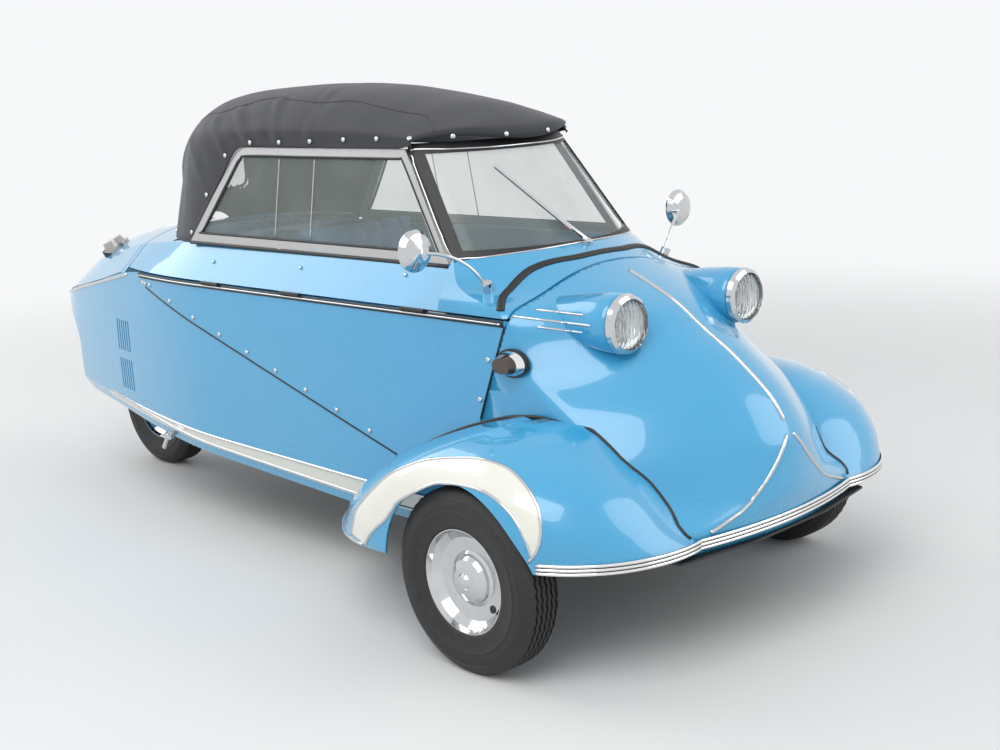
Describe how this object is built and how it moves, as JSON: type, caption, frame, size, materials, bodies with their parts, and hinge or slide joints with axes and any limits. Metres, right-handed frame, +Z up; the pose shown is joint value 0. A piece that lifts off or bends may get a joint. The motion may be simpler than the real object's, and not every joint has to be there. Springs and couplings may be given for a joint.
{
  "type": "bubble car",
  "caption": "Three-wheeled tandem-seat bubble car with a side-hinged soft-top canopy, faired front wheels and a rear engine under a tapered tail.",
  "frame": {"origin": "on the ground under the middle of the overall length and width", "axes": "+X towards the nose, +Y to the car's left, +Z up"},
  "size_m": [2.8195, 1.218, 1.2002],
  "materials": {
    "black_rubber": "matt",
    "body_blue": "gloss two-pack paint, sky blue",
    "bright_trim": "polished",
    "chassis_black": "satin black",
    "clear_glass": "clear",
    "control_grey": "black moulding",
    "dash_tan": "tan padded cover",
    "engine_metal": "cast and painted",
    "lamp_glass": "fluted clear glass",
    "lamp_red": "red lens",
    "seat_vinyl": "grained vinyl",
    "top_cloth": "woven black canvas",
    "tyre": "black tyre rubber",
    "wheel_chrome": "polished",
    "window_aluminium": "brushed"
  },
  "bodies": {
    "body": {"bumper_strip": "bright_trim", "canopy_hinge_pins": "bright_trim", "dashboard": "dash_tan", "engine_block": "engine_metal", "exhaust": "bright_trim", "fender_left": "body_blue", "fender_right": "body_blue", "floor_tub": "body_blue", "front_axle": "chassis_black", "front_seat_back": "seat_vinyl", "front_seat_cushion": "seat_vinyl", "headlamp_lenses": "lamp_glass", "headlamp_pods": "body_blue", "headlamp_rims": "bright_trim", "lid_hinge_pin": "bright_trim", "nose_shell": "body_blue", "rear_bulkhead": "body_blue", "rear_panel": "body_blue", "rear_seat_back": "seat_vinyl", "rear_seat_cushion": "seat_vinyl", "rear_subframe": "chassis_black", "seat_bases": "body_blue", "side_lamps": "bright_trim", "side_latch": "bright_trim", "side_panel_left": "body_blue", "side_panel_right": "body_blue", "steering_column": "control_grey", "swing_arm": "chassis_black", "tail_deck": "body_blue", "tail_side_left": "body_blue", "tail_side_right": "body_blue"},
    "canopy": {"canopy_base": "body_blue", "canopy_hinge_barrels": "bright_trim", "mirrors": "bright_trim", "rear_window": "clear_glass", "side_frames": "window_aluminium", "side_glass": "clear_glass", "soft_top": "top_cloth", "windscreen_frame": "black_rubber", "windscreen_glass": "clear_glass", "wiper": "bright_trim"},
    "engine_lid": {"engine_lid": "body_blue", "lid_hinge_barrel": "bright_trim", "tail_lamps": "lamp_red"},
    "knuckle_left": {"knuckle_left": "chassis_black"},
    "knuckle_right": {"knuckle_right": "chassis_black"},
    "wheel_front_left": {"hub_front_left": "chassis_black", "rim_front_left": "wheel_chrome", "tyre_front_left": "tyre"},
    "wheel_front_right": {"hub_front_right": "chassis_black", "rim_front_right": "wheel_chrome", "tyre_front_right": "tyre"},
    "wheel_rear": {"hub_rear": "chassis_black", "rim_rear": "wheel_chrome", "tyre_rear": "tyre"},
    "handlebar": {"handlebar": "control_grey"}
  },
  "joints": [
    {"name": "canopy_hinge", "type": "hinge", "parent": "body", "child": "canopy", "pos_m": [0, -0.356, 0.702], "axis": [1, 0, 0], "range_deg": [0, 80]},
    {"name": "lid_hinge", "type": "hinge", "parent": "body", "child": "engine_lid", "pos_m": [-0.7375, 0, 0.816], "axis": [0, 1, 0], "range_deg": [0, 60]},
    {"name": "steer_left", "type": "hinge", "parent": "body", "child": "knuckle_left", "pos_m": [0.985, 0.475, 0.2], "axis": [0, 0, 1], "range_deg": [-30, 30]},
    {"name": "steer_right", "type": "hinge", "parent": "body", "child": "knuckle_right", "pos_m": [0.985, -0.475, 0.2], "axis": [0, 0, 1], "range_deg": [-30, 30]},
    {"name": "handlebar_turn", "type": "hinge", "parent": "body", "child": "handlebar", "pos_m": [0.56, 0, 0.64], "axis": [-0.739, 0, 0.6738], "range_deg": [-30, 30]},
    {"name": "spin_front_left", "type": "hinge", "parent": "knuckle_left", "child": "wheel_front_left", "pos_m": [0.985, 0.54, 0.2], "axis": [0, 1, 0], "continuous": true},
    {"name": "spin_front_right", "type": "hinge", "parent": "knuckle_right", "child": "wheel_front_right", "pos_m": [0.985, -0.54, 0.2], "axis": [0, 1, 0], "continuous": true},
    {"name": "spin_rear", "type": "hinge", "parent": "body", "child": "wheel_rear", "pos_m": [-1.042, 0, 0.2], "axis": [0, 1, 0], "continuous": true}
  ],
  "couplings": [
    {"joint": "steer_right", "follows": "steer_left", "ratio": 1},
    {"joint": "handlebar_turn", "follows": "steer_left", "ratio": 1}
  ]
}
